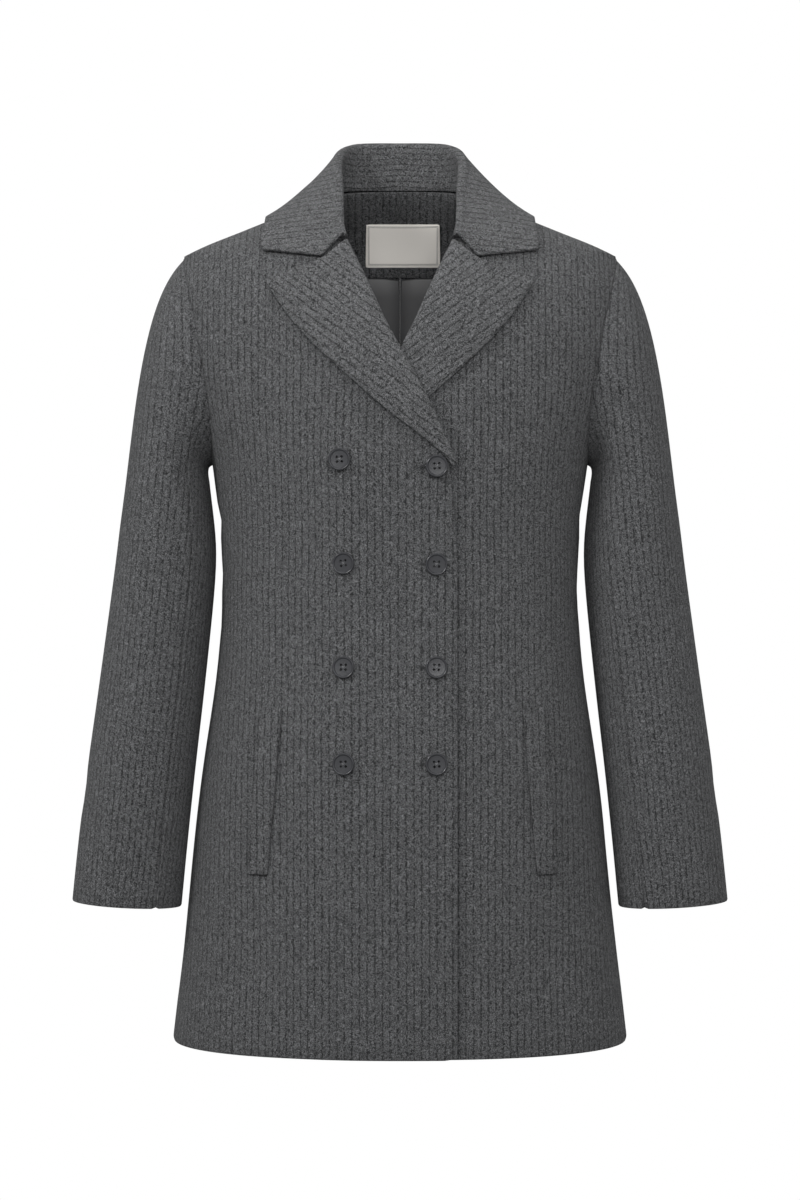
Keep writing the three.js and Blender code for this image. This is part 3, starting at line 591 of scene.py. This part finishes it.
class Cloth:
    """All the cut pieces of cloth."""

    def __init__(self, frame: dict, shaders: Shaders) -> None:
        """Args: frame: the loaded frame; shaders: the materials. Returns: nothing."""
        self.nodes = frame["nodes"]
        self.shaders = shaders
        low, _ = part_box("front_right")
        self.form = BodyForm(-low.x)
        self.sleeves = {side: SleeveForm(side) for side in ("right", "left")}

    def grain(self, size: ClothSize, p: Vector) -> tuple:
        """Args: size: the cut; p: a point. Returns: distance across and along it."""
        if size.cut is Cut.SLEEVE:
            return self.sleeves[size.node.split("_")[-1]].grain(p)
        if size.cut is Cut.COLLAR:
            return p.z * 1.25 + 0.12 * abs(p.x), p.x
        if size.cut in (Cut.LAPEL_RIGHT, Cut.LAPEL_LEFT):
            x = p.x if size.cut is Cut.LAPEL_RIGHT else -p.x
            c, s = math.cos(LAPEL_RIB), math.sin(LAPEL_RIB)
            return x * s + p.z * c, x * c - p.z * s
        return self.form.round_distance(p), p.z

    def shift(self, size: ClothSize, p: Vector) -> Vector:
        """Args: size: the cut; p: a point. Returns: how far its creases move it."""
        if size.cut is Cut.SLEEVE:
            side = size.node.split("_")[-1]
            u, v = self.sleeves[side].grain(p)
            depth = crease_depth(SLEEVE_CREASES, u, v)
            away = p - self.sleeves[side].middle(p.z)
        else:
            u, v = self.form.round_distance(p), p.z
            depth = crease_depth(BODY_CREASES, u, v)
            away = Vector((p.x, p.y - BODY_Y, 0))
        away.z = 0
        return away.normalized() * -depth

    def build_piece(self, size: ClothSize, material: bpy.types.Material, slot: str):
        """Args: size: the cut; material: its material; slot: the record's slot, not used.

        Returns: the piece.
        """
        obj = refined_mesh(self.nodes[size.node], f"{size.node}_cloth", size.levels)
        mesh = obj.data
        for vertex in mesh.vertices:
            vertex.co += self.shift(size, vertex.co)
        layer = mesh.uv_layers.new(name=GRAIN)
        places = [self.grain(size, vertex.co) for vertex in mesh.vertices]
        for loop in mesh.loops:
            layer.data[loop.index].uv = places[loop.vertex_index]
        mesh.shade_smooth()
        mesh.materials.clear()
        mesh.materials.append(material)
        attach(obj, "root")
        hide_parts(size.node)
        return obj

    def build(self) -> None:
        """Builds every piece. Returns: nothing."""
        wool = self.shaders.wool(BODY_WOOL)
        turned = self.shaders.wool(TURNED_WOOL)
        satin = self.shaders.plain(SATIN)
        made = []
        for cuts, material, slot in (
            (WOOL_CUTS, wool, "wool"),
            (TURNED_CUTS, turned, "turned_wool"),
            (LINING_CUTS, satin, "satin"),
        ):
            made += [(self.build_piece(size, material, slot), size) for size in cuts]
        LOG.info("cloth pieces: %d", len(made))


@dataclass(frozen=True)
class ThreadSize:
    """Radius of a thread and the sides of its section."""

    radius: float
    sides: int = 6


class ThreadWork:
    """Threads laid along short straight runs, by Geometry Nodes."""

    def __init__(self) -> None:
        """Returns: nothing."""
        tree = bpy.data.node_groups.new("Thread runs", "GeometryNodeTree")
        group_socket(tree, "Geometry", "INPUT", "NodeSocketGeometry")
        self.radius = group_socket(tree, "Radius", "INPUT", "NodeSocketFloat", 0.3 * MM)
        self.sides = group_socket(tree, "Sides", "INPUT", "NodeSocketInt", 6)
        self.material = group_socket(tree, "Material", "INPUT", "NodeSocketMaterial")
        group_socket(tree, "Geometry", "OUTPUT", "NodeSocketGeometry")
        nodes, links = tree.nodes, tree.links
        entry, leave = nodes.new("NodeGroupInput"), nodes.new("NodeGroupOutput")
        curve = nodes.new("GeometryNodeMeshToCurve")
        circle = nodes.new("GeometryNodeCurvePrimitiveCircle")
        sweep = nodes.new("GeometryNodeCurveToMesh")
        sweep.inputs["Fill Caps"].default_value = True
        real = nodes.new("GeometryNodeRealizeInstances")
        paint = nodes.new("GeometryNodeSetMaterial")
        links.new(entry.outputs["Geometry"], curve.inputs["Mesh"])
        links.new(entry.outputs["Radius"], circle.inputs["Radius"])
        links.new(entry.outputs["Sides"], circle.inputs["Resolution"])
        links.new(curve.outputs["Curve"], sweep.inputs["Curve"])
        links.new(circle.outputs["Curve"], sweep.inputs["Profile Curve"])
        links.new(sweep.outputs["Mesh"], real.inputs["Geometry"])
        links.new(real.outputs["Geometry"], paint.inputs["Geometry"])
        links.new(entry.outputs["Material"], paint.inputs["Material"])
        links.new(paint.outputs["Geometry"], leave.inputs["Geometry"])
        self.tree = tree

    def lay(self, name: str, runs: list, size: ThreadSize, material, slot: str):
        """Args: name: the piece; runs: lists of points; size; material; slot: not used.

        Returns: the piece.
        """
        points, edges = [], []
        for run in runs:
            first = len(points)
            points += [tuple(p) for p in run]
            edges += [(first + i, first + i + 1) for i in range(len(run) - 1)]
        mesh = bpy.data.meshes.new(name)
        mesh.from_pydata(points, edges, [])
        obj = new_object(name, mesh)
        modifier = obj.modifiers.new("Threads", "NODES")
        modifier.node_group = self.tree
        modifier[self.radius.identifier] = size.radius
        modifier[self.sides.identifier] = size.sides
        modifier[self.material.identifier] = material
        plain(obj)
        obj.data.shade_smooth()
        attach(obj, "root")
        return obj


@dataclass(frozen=True)
class ButtonSize:
    """Sizes of a four-hole button, in metres."""

    radius: float = 10.2 * MM
    height: float = 3.6 * MM
    rim: float = 1.5 * MM
    dish: float = 1.35 * MM
    hole: float = 1.2 * MM
    pitch: float = 2.2 * MM
    sides: int = 56
    count: int = 8


class Buttons:
    """The eight buttons, the threads that hold them and their buttonholes."""

    def __init__(self, frame: dict, shaders: Shaders, threads: ThreadWork) -> None:
        """Args: frame, shaders, threads: what they are made with. Returns: nothing."""
        self.nodes = frame["nodes"]
        self.shaders = shaders
        self.threads = threads
        self.size = ButtonSize()

    def _shape(self) -> bpy.types.Mesh:
        """Returns: one button, its back on z = 0."""
        s = self.size
        inner = s.radius - s.rim
        profile = (
            (s.radius * 0.78, 0.0), (s.radius * 0.93, s.height * 0.16),
            (s.radius, s.height * 0.5), (s.radius * 0.985, s.height * 0.8),
            (s.radius * 0.95, s.height * 0.95), (s.radius * 0.91, s.height),
            (inner + 0.25 * MM, s.height * 0.97), (inner - 0.15 * MM, s.height * 0.86),
            (inner - 0.9 * MM, s.height - s.dish), (inner * 0.5, s.height - s.dish * 1.1),
        )
        bm = bmesh.new()
        rings = []
        for r, z in profile:
            rings.append([
                bm.verts.new((r * math.cos(a), r * math.sin(a), z))
                for a in (2 * math.pi * i / s.sides for i in range(s.sides))
            ])
        for low, high in zip(rings, rings[1:]):
            for i in range(s.sides):
                j = (i + 1) % s.sides
                bm.faces.new((low[i], low[j], high[j], high[i]))
        bm.faces.new(list(reversed(rings[0])))
        bm.faces.new(rings[-1])
        mesh = bpy.data.meshes.new("button_disc")
        bm.to_mesh(mesh)
        bm.free()
        disc = new_object("button_disc", mesh)
        tools = []
        for sx in (-1, 1):
            for sy in (-1, 1):
                bpy.ops.mesh.primitive_cylinder_add(
                    vertices=20, radius=s.hole, depth=4 * s.height,
                    location=(sx * s.pitch, sy * s.pitch, s.height / 2),
                )
                tools.append(bpy.context.object)
        for tool in tools:
            cut = disc.modifiers.new("Hole", "BOOLEAN")
            cut.operation, cut.solver, cut.object = "DIFFERENCE", "EXACT", tool
        plain(disc)
        mesh = disc.data
        for obj in (*tools, disc):
            bpy.data.objects.remove(obj)
        mesh.shade_smooth()
        mesh.set_sharp_from_angle(angle=math.radians(35))
        return mesh

    def _seat(self, node: str) -> tuple:
        """Args: node: a button's node. Returns: the middle of its back, and its axis."""
        mesh = self.nodes[node].data
        points = [v.co.copy() for v in mesh.vertices]
        middle = sum(points, Vector()) / len(points)
        best = max(
            mesh.polygons, key=lambda f: f.area * (f.normal.y > 0.5)
        )
        axis = -best.normal.normalized()
        low = min(axis.dot(p) for p in points)
        return middle + axis * (low - axis.dot(middle)), axis

    def build(self) -> None:
        """Builds the buttons and their threads. Returns: nothing."""
        s = self.size
        disc = self._shape()
        material = self.shaders.plain(HORN)
        crosses, holes = [], []
        for i in range(1, s.count + 1):
            node = f"button_{i}"
            seat, axis = self._seat(node)
            turn = Vector((0, 0, 1)).rotation_difference(axis)
            turn = turn @ Quaternion((0, 0, 1), math.radians((-1) ** i * 4 * (i % 3)))
            mesh = disc.copy()
            for vertex in mesh.vertices:
                vertex.co = turn @ vertex.co + seat
            mesh.materials.clear()
            mesh.materials.append(material)
            obj = new_object(f"{node}_disc", mesh)
            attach(obj, "root")
            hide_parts(node)
            top = s.height - s.dish
            for k, sign in ((0.0, 1), (0.24 * MM, -1)):
                for off in (-0.16 * MM, 0.16 * MM):
                    near = s.pitch * 0.62
                    run = [
                        Vector((-near, -sign * near, top - 1.2 * MM)),
                        Vector((-near * 0.8, -sign * near * 0.8, top + 0.12 * MM + k)),
                        Vector((0, 0, top + 0.25 * MM + k)),
                        Vector((near * 0.8, sign * near * 0.8, top + 0.12 * MM + k)),
                        Vector((near, sign * near, top - 1.2 * MM)),
                    ]
                    side = Vector((off, -sign * off, 0))
                    crosses.append([turn @ (p + side) + seat for p in run])
            if i % 2 == 0:
                holes += self._hole_runs(seat, axis)
        self.threads.lay("button_threads", crosses, ThreadSize(0.17 * MM),
                         self.shaders.plain(THREAD), "button")
        self.threads.lay("buttonhole_threads", holes, ThreadSize(0.22 * MM),
                         self.shaders.plain(DARK_THREAD), "wool")
        LOG.info("buttons: %d", s.count)

    def _hole_runs(self, seat: Vector, axis: Vector) -> list:
        """Args: seat, axis: a button's place. Returns: stitches of its buttonhole."""
        runs = []
        across = Vector((1, 0, 0)) - axis * axis.x
        across.normalize()
        up = axis.cross(across)
        base = seat - axis * 0.45 * MM
        start, end, step = -15.0, -10.6, 0.55
        count = int((end - start) / step)
        for i in range(count):
            for sign in (-1, 1):
                p = base + across * ((start + i * step) * MM)
                runs.append([
                    p + up * (0.15 * MM * sign) + axis * 0.25 * MM,
                    p + up * (0.65 * MM * sign) + axis * 0.35 * MM,
                    p + up * (1.15 * MM * sign) + axis * 0.05 * MM,
                ])
        return runs


class Label:
    """The blank neck label, its woven border and the stitches that hold it."""

    def __init__(self, frame: dict, shaders: Shaders, threads: ThreadWork) -> None:
        """Args: frame, shaders, threads: what it is made with. Returns: nothing."""
        self.nodes = frame["nodes"]
        self.shaders = shaders
        self.threads = threads

    def build(self) -> None:
        """Builds the label. Returns: nothing."""
        obj = refined_mesh(self.nodes["label"], "label_ribbon", 2)
        obj.data.shade_smooth()
        obj.data.materials.clear()
        # the ribbon's colour is brightened past the label's own cream as painted light
        # against the neck's shade
        obj.data.materials.append(self.shaders.plain(RIBBON))
        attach(obj, "root")
        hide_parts("label")
        low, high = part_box("label")
        middle = (low.x + high.x) / 2
        half, tall = (high.x - low.x) / 2, high.z - low.z

        def front(x: float, z: float) -> Vector:
            """Args: x, z: a place. Returns: the label's front there."""
            hit, place, _, _ = obj.ray_cast(Vector((x, -0.05, z)), Vector((0, 1, 0)))
            return Vector((x, place.y - 0.1 * MM if hit else low.y, z))

        borders = []
        for inset in (2.6 * MM, 3.5 * MM):
            left, right = middle - half + inset, middle + half - inset
            bottom, top = low.z + inset, low.z + tall - inset
            corners = [(left, bottom), (right, bottom), (right, top), (left, top)]
            for (x0, z0), (x1, z1) in zip(corners, corners[1:] + corners[:1]):
                borders.append([
                    front(mix(x0, x1, i / 12), mix(z0, z1, i / 12)) for i in range(13)
                ])
        self.threads.lay("label_border", borders, ThreadSize(0.16 * MM, 5),
                         self.shaders.plain(RIBBON_LINE), "ribbon")
        stitches = []
        for z in (low.z + 0.9 * MM, high.z - 0.9 * MM):
            count = int(2 * (half - 2 * MM) / (3.2 * MM))
            for i in range(count):
                x = middle - half + 2 * MM + i * 3.2 * MM
                stitches.append([front(x, z), front(x + 2.1 * MM, z)])
        # the stitches share the ribbon's brightened colour, partly painted light
        self.threads.lay("label_stitches", stitches, ThreadSize(0.14 * MM, 5),
                         self.shaders.plain(RIBBON), "ribbon")
        LOG.info("label built")


@dataclass(frozen=True)
class StudioSize:
    """Camera and light sizes: distance, heights and strengths."""

    distance: float = 2.427
    height: float = -0.381
    picture: float = 1.152
    sensor: float = 36.0
    ambient: float = 0.36


class Studio:
    """Camera, soft lights and a white surround."""

    LIGHTS = (
        ("key", (-1.9, -1.7, 1.2), 36.0, 0.7),
        ("fill", (1.5, -1.9, 0.7), 13.0, 1.8),
        ("top", (0.0, -0.3, 1.7), 10.0, 1.4),
        ("front", (0.0, -1.9, 0.35), 17.0, 0.9),
    )

    def __init__(self) -> None:
        """Returns: nothing."""
        self.size = StudioSize()

    def build(self) -> None:
        """Builds the studio. Returns: nothing."""
        s = self.size
        camera = bpy.data.cameras.new("camera")
        camera.sensor_width = s.sensor
        camera.lens = s.sensor * s.distance / s.picture
        obj = bpy.data.objects.new("camera", camera)
        obj.location = (0, -s.distance, s.height)
        obj.rotation_euler = (math.pi / 2, 0, 0)
        bpy.context.scene.collection.objects.link(obj)
        bpy.context.scene.camera = obj
        for name, place, power, width in self.LIGHTS:
            light = bpy.data.lights.new(name, "AREA")
            light.energy, light.size = power, width
            lamp = bpy.data.objects.new(name, light)
            lamp.location = place
            aim = Vector((0, 0, s.height)) - Vector(place)
            lamp.rotation_euler = aim.to_track_quat("-Z", "Y").to_euler()
            bpy.context.scene.collection.objects.link(lamp)
        world = bpy.data.worlds.new("surround")
        bpy.context.scene.world = world
        world.use_nodes = True
        nodes, links = world.node_tree.nodes, world.node_tree.links
        nodes.clear()
        path = nodes.new("ShaderNodeLightPath")
        soft, white = nodes.new("ShaderNodeBackground"), nodes.new("ShaderNodeBackground")
        soft.inputs["Color"].default_value = (1, 1, 1, 1)
        soft.inputs["Strength"].default_value = s.ambient
        white.inputs["Color"].default_value = (1, 1, 1, 1)
        blend = nodes.new("ShaderNodeMixShader")
        out = nodes.new("ShaderNodeOutputWorld")
        links.new(path.outputs["Is Camera Ray"], blend.inputs[0])
        links.new(soft.outputs[0], blend.inputs[1])
        links.new(white.outputs[0], blend.inputs[2])
        links.new(blend.outputs[0], out.inputs[0])
        bpy.context.scene.view_settings.view_transform = "Standard"


def main() -> None:
    """Builds the whole scene in order. Returns: nothing."""
    logging.basicConfig(level=logging.INFO)
    for obj in list(bpy.data.objects):
        bpy.data.objects.remove(obj)
    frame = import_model()
    shaders = Shaders()
    Cloth(frame, shaders).build()
    threads = ThreadWork()
    Buttons(frame, shaders, threads).build()
    Label(frame, shaders, threads).build()
    Studio().build()


if __name__ == "__main__":
    main()
